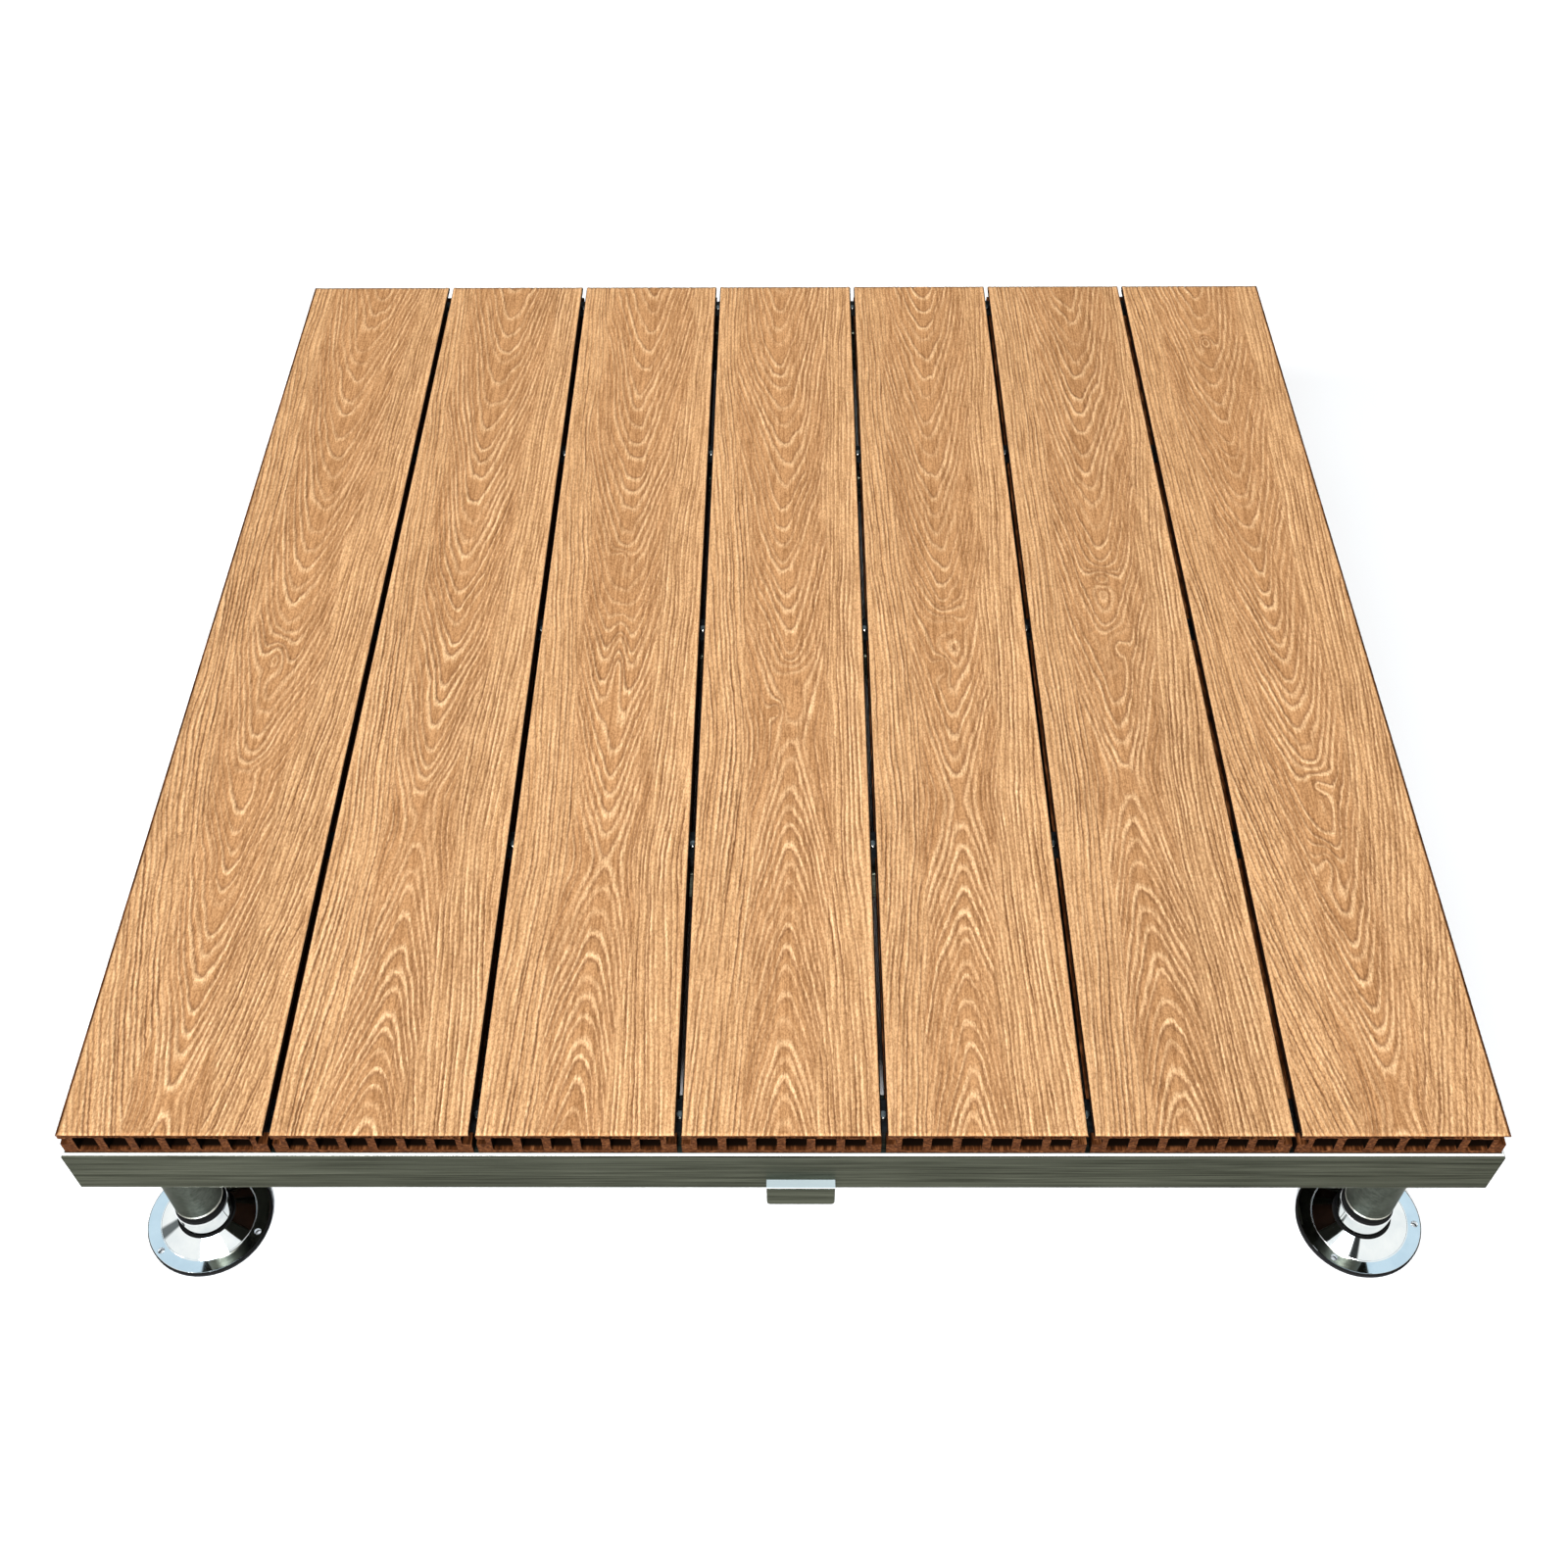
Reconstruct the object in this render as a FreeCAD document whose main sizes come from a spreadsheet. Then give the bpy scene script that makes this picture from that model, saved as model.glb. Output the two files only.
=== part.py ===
# Raised interlocking deck tile: hollow composite boards clipped to a welded square-tube frame
# that stands on four legs with levelling feet.
# Origin: on the ground under the middle of the tile. X runs across the boards, Y along them to the
# rear, Z up. The interlocking key is at the front. Millimetres.

import FreeCAD, Part
import os
import Sketcher

SIZES = {
    # Deck as a whole
    "deck_width": 1010.0,
    "deck_length": 1012.0,
    "deck_height": 217.0,
    # Hollow boards: the two outer ones are wider
    "board_count": 7,
    "edge_board_width": 144.0,
    "board_gap": 5.0,
    "board_thick": 25.0,
    "board_round": 2.0,
    "top_skin": 4.0,
    "bottom_skin": 3.5,
    "solid_edge": 10.0,
    "chamber_count": 6,
    "chamber_web": 5.9,
    "chamber_corner": 1.2,
    # Groove in each board side that takes the clips, and the lip below it
    "groove_depth": 6.0,
    "groove_drop": 6.0,
    "groove_height": 7.0,
    "lip_step": 0.7,
    # Frame of square tube: how far it shows beyond the boards, and its section
    "side_reveal": 4.0,
    "end_reveal": 3.0,
    "rail_size": 50.0,
    "rail_wall": 2.0,
    "rail_round": 3.0,
    "rail_inner_round": 1.0,
    # Joists, open channels between the side rails
    "joist_count": 3,
    "joist_width": 40.0,
    "joist_depth": 30.0,
    "joist_wall": 2.0,
    "joist_round": 3.0,
    # Clips in the grooves, with two tabs that set the gap
    "clip_length": 26.0,
    "clip_sheet": 1.2,
    "clip_side_play": 1.0,
    "clip_tab_width": 3.2,
    # Pan-head screws: clips, outer boards and key
    "screw_radius": 1.6,
    "screw_head_radius": 3.4,
    "screw_head_height": 2.2,
    "clip_screw_length": 18.0,
    "edge_screw_length": 14.0,
    "edge_screw_web": 3,
    "key_screw_radius": 2.5,
    "key_screw_head_radius": 4.6,
    "key_screw_head_height": 3.0,
    "key_screw_length": 12.0,
    "screw_head_bevel": 0.8,
    # Key on the front rail: a profile with a leaf under the rail
    "key_offset": 13.7,
    "key_width": 49.4,
    "key_reach": 7.0,
    "key_rise": 14.4,
    "key_drop": 11.2,
    "key_leaf": 42.0,
    "key_wall": 3.0,
    "key_corner": 3.0,
    "key_front_round": 1.2,
    "key_screw_spacing": 28.0,
    # Notch in the rear rail that takes the next tile's key
    "notch_play": 1.2,
    "notch_overrun": 1.0,
    # Legs
    "leg_side_inset": 47.0,
    "leg_end_inset": 44.0,
    "plate_setback": 6.0,
    "plate_size": 94.0,
    "plate_thick": 5.0,
    "plate_corner": 12.0,
    "leg_radius": 19.05,
    "leg_wall": 2.0,
    "leg_clearance": 42.0,
    "collar_height": 2.4,
    "insert_height": 16.0,
    # Levelling feet
    "stud_radius": 8.0,
    "stud_play": 0.3,
    "stud_headroom": 33.0,
    "stud_seat": 16.0,
    "stud_bevel": 1.5,
    "pad_radius": 49.0,
    "pad_inner_radius": 37.5,
    "pad_thick": 2.0,
    "flange_radius": 49.0,
    "flange_thick": 3.2,
    "flange_round": 1.5,
    "flat_ring_radius": 38.3,
    "cone_top_radius": 22.6,
    "cone_top_height": 13.6,
    "neck_radius": 20.7,
    "neck_top_radius": 18.8,
    "neck_round_start": 31.0,
    "neck_height": 33.2,
    "neck_groove": 1.4,
    "hub_floor": 9.0,
    "hub_setback": 1.0,
    "foot_hole_radius": 2.75,
    "foot_hole_circle": 87.0,
    "foot_hole_count": 3,
}

CORNERS = ("front_left", "front_right", "rear_right", "rear_left")
FOOT_TURNS = (-137.5, -8.0, 25.0, 70.0)

doc = FreeCAD.newDocument("deck_tile")
sheet = doc.addObject("Spreadsheet::Sheet", "Sizes")
for row, (alias, amount) in enumerate(SIZES.items(), start=1):
    sheet.set(f"A{row}", alias)
    sheet.set(f"B{row}", str(amount))
    sheet.setAlias(f"B{row}", alias)
doc.recompute()


class Size:
    """A size that knows its value and the cell formula it comes from."""

    def __init__(self, amount, formula):
        self.amount = float(amount)
        self.formula = formula

    def join(self, other, sign, amount):
        text = other.formula if isinstance(other, Size) else repr(other)
        return Size(amount, f"({self.formula} {sign} {text})")

    def __add__(self, other):
        return self.join(other, "+", self.amount + float(other))

    def __sub__(self, other):
        return self.join(other, "-", self.amount - float(other))

    def __mul__(self, other):
        return self.join(other, "*", self.amount * float(other))

    def __truediv__(self, other):
        return self.join(other, "/", self.amount / float(other))

    def __neg__(self):
        return Size(-self.amount, f"(0 - {self.formula})")

    def __float__(self):
        return self.amount


def cell(alias):
    return Size(sheet.get(alias), "Sizes." + alias)


# Sizes worked out from the driving ones
frame_width = cell("deck_width") + cell("side_reveal") * 2
frame_length = cell("deck_length") + cell("end_reveal") * 2
frame_top = cell("deck_height") - cell("board_thick")
frame_bottom = frame_top - cell("rail_size")
inner_board_width = (
    cell("deck_width") - cell("edge_board_width") * 2 - cell("board_gap") * (cell("board_count") - 1)
) / (cell("board_count") - 2)
board_pitch = inner_board_width + cell("board_gap")
groove_floor = cell("groove_drop") + cell("groove_height")
joist_pitch = (frame_length - cell("rail_size")) / (cell("joist_count") + 1)
leg_x = frame_width / 2 - cell("leg_side_inset")
leg_y = frame_length / 2 - cell("leg_end_inset")
BOARD_COUNT = round(float(cell("board_count")))
JOIST_COUNT = round(float(cell("joist_count")))
CHAMBER_COUNT = round(float(cell("chamber_count")))
FOOT_HOLE_COUNT = round(float(cell("foot_hole_count")))


def chamber_width(board_width):
    webs = cell("chamber_web") * (CHAMBER_COUNT - 1)
    return (board_width - cell("solid_edge") * 2 - webs) / CHAMBER_COUNT


def gap_place(index):
    """X of the gap after board number index, counted from 1 at the left."""
    return board_pitch * (index - BOARD_COUNT / 2)


def row_place(index):
    """Y of joist or rail number index, counted from 0 at the front rail."""
    return joist_pitch * (index - (JOIST_COUNT + 1) / 2)


edge_web_place = (
    cell("deck_width") / 2 - cell("solid_edge") + cell("chamber_web") / 2
    - (chamber_width(cell("edge_board_width")) + cell("chamber_web")) * cell("edge_screw_web")
)


# Building blocks

def new_body(name):
    body = doc.addObject("PartDesign::Body", name)
    body.Label = name
    return body


def new_sketch(body, role, name, height=None):
    """Sketch on one of the body's own planes, or at a height above it."""
    plane = next(item for item in body.Origin.OriginFeatures if item.Role == role)
    sketch = body.newObject("Sketcher::SketchObject", name)
    sketch.AttachmentSupport = [(plane, "")]
    sketch.MapMode = "FlatFace"
    if height is not None:
        sketch.setExpression("AttachmentOffset.Base.z", height.formula)
    return sketch


def place_point(sketch, edge, end, x, y):
    """Hold one point of the sketch at x, y. A plain zero puts it on the axis."""
    for kind, axis, place in (("DistanceX", -2, x), ("DistanceY", -1, y)):
        if isinstance(place, Size):
            number = sketch.addConstraint(
                Sketcher.Constraint(kind, -1, 1, edge, end, float(place)))
            sketch.setExpression(f"Constraints[{number}]", place.formula)
        else:
            sketch.addConstraint(Sketcher.Constraint("PointOnObject", edge, end, axis))


def outline(sketch, corners):
    """Closed outline of straight edges through the corners."""
    first = sketch.GeometryCount
    count = len(corners)
    points = [FreeCAD.Vector(float(x), float(y), 0) for x, y in corners]
    for index in range(count):
        sketch.addGeometry(Part.LineSegment(points[index], points[(index + 1) % count]), False)
    for index in range(count):
        following = first + (index + 1) % count
        sketch.addConstraint(Sketcher.Constraint("Coincident", first + index, 2, following, 1))
    for index, (x, y) in enumerate(corners):
        place_point(sketch, first + index, 1, x, y)


def circle(sketch, x, y, radius):
    centre = FreeCAD.Vector(float(x), float(y), 0)
    edge = sketch.addGeometry(Part.Circle(centre, FreeCAD.Vector(0, 0, 1), float(radius)), False)
    place_point(sketch, edge, 3, x, y)
    number = sketch.addConstraint(Sketcher.Constraint("Radius", edge, float(radius)))
    sketch.setExpression(f"Constraints[{number}]", radius.formula)


def rectangle(left, right, low, high):
    return [(left, low), (right, low), (right, high), (left, high)]


def pad(body, sketch, length, symmetric=False):
    feature = body.newObject("PartDesign::Pad", sketch.Name + "_pad")
    feature.Profile = sketch
    feature.setExpression("Length", length.formula)
    if symmetric:
        feature.SideType = "Symmetric"
    return feature


def pocket(body, sketch, depth=None, upward=False):
    """Cut away from the sketch's normal, along it, or right through where no depth is given."""
    before = solid_volume(body)
    feature = body.newObject("PartDesign::Pocket", sketch.Name + "_cut")
    feature.Profile = sketch
    if depth is None:
        feature.Type = "ThroughAll"
        feature.SideType = "Symmetric"
    else:
        feature.setExpression("Length", depth.formula)
        feature.Reversed = upward
    if solid_volume(body) >= before:
        raise RuntimeError(f"{feature.Name} cuts nothing")
    return feature


def solid_volume(body):
    doc.recompute()
    return body.Shape.Volume


def revolve(body, sketch):
    feature = body.newObject("PartDesign::Revolution", sketch.Name + "_turn")
    feature.Profile = sketch
    feature.ReferenceAxis = (sketch, ["V_Axis"])
    feature.Angle = 360.0
    return feature


def fillet(body, radius, test):
    """Round the edges of the body so far that pass the test."""
    doc.recompute()
    base = body.Tip
    chosen = [f"Edge{n}" for n, edge in enumerate(base.Shape.Edges, start=1) if test(edge)]
    if not chosen:
        raise RuntimeError(f"no edge to round on {body.Name}")
    feature = body.newObject("PartDesign::Fillet", body.Name + "_round")
    feature.Base = (base, chosen)
    feature.setExpression("Radius", radius.formula)
    return feature


def runs_along(edge, axis):
    """True for a straight edge along the axis number."""
    if not isinstance(edge.Curve, Part.Line):
        return False
    return abs(abs(edge.Curve.Direction[axis]) - 1) < 1e-6


def at(position, *places):
    return any(abs(position - float(place)) < 1e-4 for place in places)


def move(item, x=None, y=None, z=None, turn=0.0):
    item.Placement = FreeCAD.Placement(
        FreeCAD.Vector(0, 0, 0), FreeCAD.Rotation(FreeCAD.Vector(0, 0, 1), turn))
    for axis, place in (("x", x), ("y", y), ("z", z)):
        if place is not None:
            item.setExpression("Placement.Base." + axis, place.formula)


def copies(name, master, places):
    """One node of equal loose pieces: the master's solid at each place."""
    doc.recompute()
    solids = []
    for x, y, z in places:
        solid = master.Shape.copy()
        solid.translate(FreeCAD.Vector(float(x), float(y), float(z)))
        solids.append(solid)
    node = doc.addObject("Part::Feature", name)
    node.Label = name
    node.Shape = Part.Compound(solids)
    return node


# Boards

def deck_board(number):
    """Extruded hollow board. Its own origin is in the middle of the walking face."""
    outer = number in (1, BOARD_COUNT)
    width = cell("edge_board_width") if outer else inner_board_width
    body = new_body(f"deck_board_{number}")
    top_x = width / 2
    groove_x = top_x - cell("groove_depth")
    lip_x = top_x + cell("lip_step")
    right = [
        (top_x, 0), (top_x, -cell("groove_drop")), (groove_x, -cell("groove_drop")),
        (groove_x, -groove_floor), (lip_x, -groove_floor), (lip_x, -cell("board_thick")),
    ]
    left = [(-x, z) for x, z in reversed(right)]
    section = new_sketch(body, "XZ_Plane", f"board_{number}_section")
    outline(section, right + left)
    pad(body, section, cell("deck_length"), symmetric=True)
    fillet(body, cell("board_round"), lambda edge: (
        runs_along(edge, 1) and at(edge.CenterOfMass.z, 0) and at(abs(edge.CenterOfMass.x), top_x)))
    board_chambers(body, number, width)
    x = gap_place(number) - cell("board_gap") / 2 - inner_board_width / 2
    if outer:
        edge_place = cell("deck_width") / 2 - cell("edge_board_width") / 2
        x = -edge_place if number == 1 else edge_place
        screw_pilots(body, number, edge_web_place - edge_place)
    move(body, x=x, z=cell("deck_height"))
    return body


def board_chambers(body, number, width):
    """Row of chambers right through the board, divided by upright webs."""
    chamber = chamber_width(width)
    corner = cell("chamber_corner")
    left = cell("solid_edge") - width / 2
    right = left + chamber
    top = -cell("top_skin")
    low = cell("bottom_skin") - cell("board_thick")
    sketch = new_sketch(body, "XZ_Plane", f"board_{number}_chamber")
    outline(sketch, [
        (left + corner, low), (right - corner, low), (right, low + corner), (right, top - corner),
        (right - corner, top), (left + corner, top), (left, top - corner), (left, low + corner),
    ])
    cut = pocket(body, sketch)
    row = body.newObject("PartDesign::LinearPattern", f"board_{number}_chambers")
    row.Originals = [cut]
    row.Direction = (sketch, ["H_Axis"])
    row.Occurrences = CHAMBER_COUNT
    row.setExpression("Length", ((chamber + cell("chamber_web")) * (CHAMBER_COUNT - 1)).formula)
    body.Tip = row


def screw_pilots(body, number, web_x):
    """Pilot holes from below, in one web of an outer board, one over each joist."""
    sketch = new_sketch(body, "XY_Plane", f"board_{number}_pilots", -cell("board_thick"))
    for index in range(1, JOIST_COUNT + 1):
        side = -web_x if number == 1 else web_x
        y = row_place(index)
        circle(sketch, side, y if float(y) else 0, cell("screw_radius"))
    pocket(body, sketch, cell("edge_screw_length") - cell("joist_wall"), upward=True)


# Frame

def rail(name, length, x=None, y=None, turn=0.0):
    """Mitred square tube. Its own origin is in the middle of its outer top edge."""
    body = new_body(name)
    size = cell("rail_size")
    wall = cell("rail_wall")
    section = new_sketch(body, "YZ_Plane", name + "_section")
    outline(section, rectangle(0, size, -size, 0))
    outline(section, rectangle(wall, size - wall, wall - size, -wall))
    pad(body, section, length, symmetric=True)

    def on_outside(edge):
        middle = edge.CenterOfMass
        return runs_along(edge, 0) and at(middle.y, 0, size) and at(middle.z, 0, -size)

    def on_inside(edge):
        middle = edge.CenterOfMass
        return runs_along(edge, 0) and at(middle.y, wall, size - wall)

    fillet(body, cell("rail_round"), on_outside)
    fillet(body, cell("rail_inner_round"), on_inside)
    mitre = new_sketch(body, "XY_Plane", name + "_mitre")
    tip = length / 2
    outline(mitre, [(tip, 0), (tip, size), (tip - size, size)])
    outline(mitre, [(-tip, 0), (-tip, size), (size - tip, size)])
    pocket(body, mitre)
    move(body, x=x, y=y, z=frame_top, turn=turn)
    return body


def clip_holes(body, y, wall):
    """Screw holes in the top wall of a rail or joist, under each gap."""
    sketch = new_sketch(body, "XY_Plane", body.Name + "_clip_holes")
    for index in range(1, BOARD_COUNT):
        circle(sketch, gap_place(index), y, cell("screw_radius"))
    pocket(body, sketch, wall)


def key_screw_holes(body):
    sketch = new_sketch(body, "XY_Plane", "rail_key_holes", -cell("rail_size"))
    for side in (-1, 1):
        x = cell("key_offset") + cell("key_screw_spacing") / 2 * side
        circle(sketch, x, cell("rail_size") / 2, cell("key_screw_radius"))
    pocket(body, sketch, cell("rail_wall"), upward=True)


def key_notch(body):
    """Opening in the outer lower edge of the rear rail for the next tile's key."""
    half = cell("key_width") / 2 + cell("notch_play")
    middle = -cell("key_offset")
    sketch = new_sketch(body, "XZ_Plane", "rear_rail_notch")
    top = cell("key_rise") + cell("notch_play") - cell("rail_size")
    low = -cell("rail_size") - cell("notch_overrun")
    outline(sketch, rectangle(middle - half, middle + half, low, top))
    pocket(body, sketch, cell("key_reach") + cell("notch_play"))


def joist(number, name):
    """Open channel, web up, flush with the top of the frame."""
    body = new_body(name)
    half = cell("joist_width") / 2
    wall = cell("joist_wall")
    depth = cell("joist_depth")
    section = new_sketch(body, "YZ_Plane", name + "_section")
    outline(section, [
        (-half, -depth), (-half, 0), (half, 0), (half, -depth), (half - wall, -depth),
        (half - wall, -wall), (wall - half, -wall), (wall - half, -depth),
    ])
    pad(body, section, frame_width - cell("rail_size") * 2, symmetric=True)
    fillet(body, cell("joist_round"), lambda edge: (
        runs_along(edge, 0) and at(edge.CenterOfMass.z, 0) and at(abs(edge.CenterOfMass.y), half)))
    clip_holes(body, 0, wall)
    sketch = new_sketch(body, "XY_Plane", name + "_edge_holes")
    for side in (-1, 1):
        circle(sketch, edge_web_place * side, 0, cell("screw_radius"))
    pocket(body, sketch, wall)
    y = row_place(number)
    move(body, y=y if float(y) else None, z=frame_top)
    return body


# Key and screws

def interlock_key():
    """Profile with a front wall, a top lip against the rail and a leaf under the rail."""
    body = new_body("interlock_key")
    wall = cell("key_wall")
    reach = cell("key_reach")
    rise = cell("key_rise")
    drop = cell("key_drop")
    section = new_sketch(body, "YZ_Plane", "key_section")
    outline(section, [
        (-reach, -drop), (-reach, rise), (0, rise), (0, rise - wall), (wall - reach, rise - wall),
        (wall - reach, 0), (cell("key_leaf"), 0), (cell("key_leaf"), -wall),
        (wall - reach, -wall), (wall - reach, -drop),
    ])
    pad(body, section, cell("key_width"), symmetric=True)
    fillet(body, cell("key_corner"), lambda edge: (
        runs_along(edge, 1) and at(edge.CenterOfMass.z, -drop)))
    fillet(body, cell("key_front_round"), lambda edge: (
        at(edge.CenterOfMass.y, -reach) and not at(edge.CenterOfMass.z, -drop)))
    holes = new_sketch(body, "XY_Plane", "key_leaf_holes")
    for side in (-1, 1):
        x = cell("key_screw_spacing") / 2 * side
        circle(holes, x, cell("rail_size") / 2, cell("key_screw_radius"))
    pocket(body, holes, wall)
    move(body, x=cell("key_offset"), y=-frame_length / 2, z=frame_bottom)
    return body


def pan_screw(name, radius, head_radius, head_height, length):
    """Screw that points down, with its head's seat at its own origin."""
    body = new_body(name)
    bevel = cell("screw_head_bevel")
    sketch = new_sketch(body, "XZ_Plane", name + "_section")
    outline(sketch, [
        (0, -length), (radius, -length), (radius, 0), (head_radius, 0),
        (head_radius, head_height - bevel), (head_radius - bevel, head_height), (0, head_height),
    ])
    revolve(body, sketch)
    return body


def upward_screws(name, master, places):
    """Screws driven from below: the master turned upside down at each place."""
    doc.recompute()
    flipped = doc.addObject("Part::Feature", name + "_master_up")
    flipped.Shape = master.Shape.copy()
    flipped.Placement = FreeCAD.Placement(
        FreeCAD.Vector(0, 0, 0), FreeCAD.Rotation(FreeCAD.Vector(1, 0, 0), 180))
    return copies(name, flipped, places)


def board_clip():
    """Folded clip: a plate in the grooves of two boards and two tabs down to the rail."""
    body = new_body("clip_master")
    sheet_thick = cell("clip_sheet")
    half = cell("clip_length") / 2
    half_width = cell("board_gap") / 2 + cell("groove_depth") - cell("clip_side_play")
    drop = cell("board_thick") - groove_floor
    plate = new_sketch(body, "XY_Plane", "clip_plate")
    outline(plate, rectangle(-half_width, half_width, -half, half))
    pad(body, plate, sheet_thick)
    tabs = new_sketch(body, "XY_Plane", "clip_tabs", -drop)
    tab = cell("clip_tab_width") / 2
    outline(tabs, rectangle(-tab, tab, half - sheet_thick, half))
    outline(tabs, rectangle(-tab, tab, -half, sheet_thick - half))
    pad(body, tabs, drop)
    hole = new_sketch(body, "XY_Plane", "clip_hole", sheet_thick)
    circle(hole, 0, 0, cell("screw_radius"))
    pocket(body, hole, sheet_thick)
    return body


# Legs and feet

def leg_plate(corner, side, end):
    """Plate under the frame's corner, set back from both faces. Its own origin is on the leg axis."""
    body = new_body("leg_plate_" + corner)
    outer_x = (cell("leg_side_inset") - cell("plate_setback")) * side
    outer_y = (cell("leg_end_inset") - cell("plate_setback")) * end
    inner_x = outer_x - cell("plate_size") * side
    inner_y = outer_y - cell("plate_size") * end
    sketch = new_sketch(body, "XY_Plane", f"plate_{corner}_outline")
    outline(sketch, [
        (outer_x, outer_y), (inner_x, outer_y), (inner_x, inner_y + cell("plate_corner") * end),
        (inner_x + cell("plate_corner") * side, inner_y), (outer_x, inner_y),
    ])
    feature = pad(body, sketch, cell("plate_thick"))
    feature.Reversed = True
    return body


def leg_tube(corner):
    body = new_body("leg_tube_" + corner)
    sketch = new_sketch(body, "XY_Plane", f"leg_{corner}_section", -cell("plate_thick"))
    circle(sketch, 0, 0, cell("leg_radius"))
    circle(sketch, 0, 0, cell("leg_radius") - cell("leg_wall"))
    length = frame_bottom - cell("plate_thick") - cell("leg_clearance")
    feature = pad(body, sketch, length)
    feature.Reversed = True
    return body


def leg_insert(corner):
    """Threaded plug in the lower end of the leg, with a collar under the tube."""
    body = new_body("leg_insert_" + corner)
    sketch = new_sketch(body, "XY_Plane", f"insert_{corner}_section")
    circle(sketch, 0, 0, cell("leg_radius") - cell("leg_wall"))
    circle(sketch, 0, 0, cell("stud_radius") + cell("stud_play"))
    pad(body, sketch, cell("insert_height"))
    collar = new_sketch(body, "XY_Plane", f"insert_{corner}_collar", -cell("collar_height"))
    circle(collar, 0, 0, cell("leg_radius"))
    circle(collar, 0, 0, cell("stud_radius") + cell("stud_play"))
    pad(body, collar, cell("collar_height"))
    return body


def foot_flange(corner):
    """Turned flange: flat ring with screw holes, cone, ring groove and flat-topped neck."""
    body = new_body("foot_flange_" + corner)
    low = cell("pad_thick")
    top = low + cell("flange_thick")
    rim = cell("flange_radius")
    ring = cell("flat_ring_radius")
    neck = cell("neck_radius")
    neck_foot = cell("cone_top_height") - cell("neck_groove")
    hub = cell("hub_floor")
    hollow = cell("pad_inner_radius") - cell("hub_setback")
    sketch = new_sketch(body, "XZ_Plane", f"foot_{corner}_section")
    outline(sketch, [
        (0, hub), (cell("cone_top_radius"), hub), (hollow, low), (rim, low), (rim, top),
        (ring, top), (cell("cone_top_radius"), cell("cone_top_height")),
        (cell("cone_top_radius"), neck_foot), (neck, neck_foot), (neck, cell("neck_round_start")),
        (cell("neck_top_radius"), cell("neck_height")), (cell("stud_radius"), cell("neck_height")),
        (cell("stud_radius"), cell("stud_seat")), (0, cell("stud_seat")),
    ])
    revolve(body, sketch)
    fillet(body, cell("flange_round"), lambda edge: (
        isinstance(edge.Curve, Part.Circle) and at(edge.Curve.Radius, rim)))
    hole = new_sketch(body, "XY_Plane", f"foot_{corner}_hole", top)
    circle(hole, cell("foot_hole_circle") / 2, 0, cell("foot_hole_radius"))
    cut = pocket(body, hole, cell("flange_thick"))
    hole_circle(body, cut)
    return body


def foot_pad(corner):
    """Rubber ring under the flange, with the same holes."""
    body = new_body("foot_pad_" + corner)
    sketch = new_sketch(body, "XY_Plane", f"pad_{corner}_outline")
    circle(sketch, 0, 0, cell("pad_radius"))
    circle(sketch, 0, 0, cell("pad_inner_radius"))
    pad(body, sketch, cell("pad_thick"))
    hole = new_sketch(body, "XY_Plane", f"pad_{corner}_hole", cell("pad_thick"))
    circle(hole, cell("foot_hole_circle") / 2, 0, cell("foot_hole_radius"))
    cut = pocket(body, hole, cell("pad_thick"))
    hole_circle(body, cut)
    return body


def hole_circle(body, cut):
    """Repeat a screw hole around the foot."""
    ring = body.newObject("PartDesign::PolarPattern", body.Name + "_holes")
    ring.Originals = [cut]
    ring.Axis = (cut.Profile[0], ["N_Axis"])
    ring.Angle = 360.0
    ring.Occurrences = FOOT_HOLE_COUNT
    body.Tip = ring


def foot_stud(corner):
    body = new_body("foot_stud_" + corner)
    radius = cell("stud_radius")
    bevel = cell("stud_bevel")
    top = frame_bottom - cell("plate_thick") - cell("stud_headroom")
    sketch = new_sketch(body, "XZ_Plane", f"stud_{corner}_section")
    outline(sketch, [
        (0, cell("stud_seat")), (radius, cell("stud_seat")), (radius, top - bevel),
        (radius - bevel, top), (0, top),
    ])
    revolve(body, sketch)
    return body


def leg(number, corner):
    """All pieces of one leg at its corner, with the foot's screw holes turned its own way."""
    side = -1 if corner.endswith("left") else 1
    end = -1 if corner.startswith("front") else 1
    x = leg_x * side
    y = leg_y * end
    plate = leg_plate(corner, side, end)
    tube = leg_tube(corner)
    insert = leg_insert(corner)
    move(plate, x=x, y=y, z=frame_bottom)
    move(tube, x=x, y=y, z=frame_bottom)
    move(insert, x=x, y=y, z=cell("leg_clearance"))
    foot = [foot_flange(corner), foot_pad(corner), foot_stud(corner)]
    for piece in foot:
        move(piece, x=x, y=y, turn=FOOT_TURNS[number])
    return [plate, tube, insert] + foot


# The whole tile
nodes = [deck_board(number) for number in range(1, BOARD_COUNT + 1)]

half_width = frame_width / 2
half_length = frame_length / 2
front = rail("front_rail", frame_width, y=-half_length)
rear = rail("rear_rail", frame_width, y=half_length, turn=180.0)
for end_rail in (front, rear):
    clip_holes(end_rail, cell("rail_size") / 2, cell("rail_wall"))
key_screw_holes(front)
key_notch(rear)
nodes += [front, rear]
nodes.append(rail("left_rail", frame_length, x=-half_width, turn=-90.0))
nodes.append(rail("right_rail", frame_length, x=half_width, turn=90.0))
nodes += [joist(number, f"joist_{number}") for number in range(1, JOIST_COUNT + 1)]

clip_seat = frame_top + (cell("board_thick") - groove_floor)
crossings = [
    (gap_place(gap), row_place(row)) for row in range(JOIST_COUNT + 2) for gap in range(1, BOARD_COUNT)
]
nodes.append(copies("board_clips", board_clip(), [(x, y, clip_seat) for x, y in crossings]))
clip_screw = pan_screw(
    "clip_screw_master", cell("screw_radius"), cell("screw_head_radius"),
    cell("screw_head_height"), cell("clip_screw_length"))
screw_seat = clip_seat + cell("clip_sheet")
nodes.append(copies("clip_screws", clip_screw, [(x, y, screw_seat) for x, y in crossings]))

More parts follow.
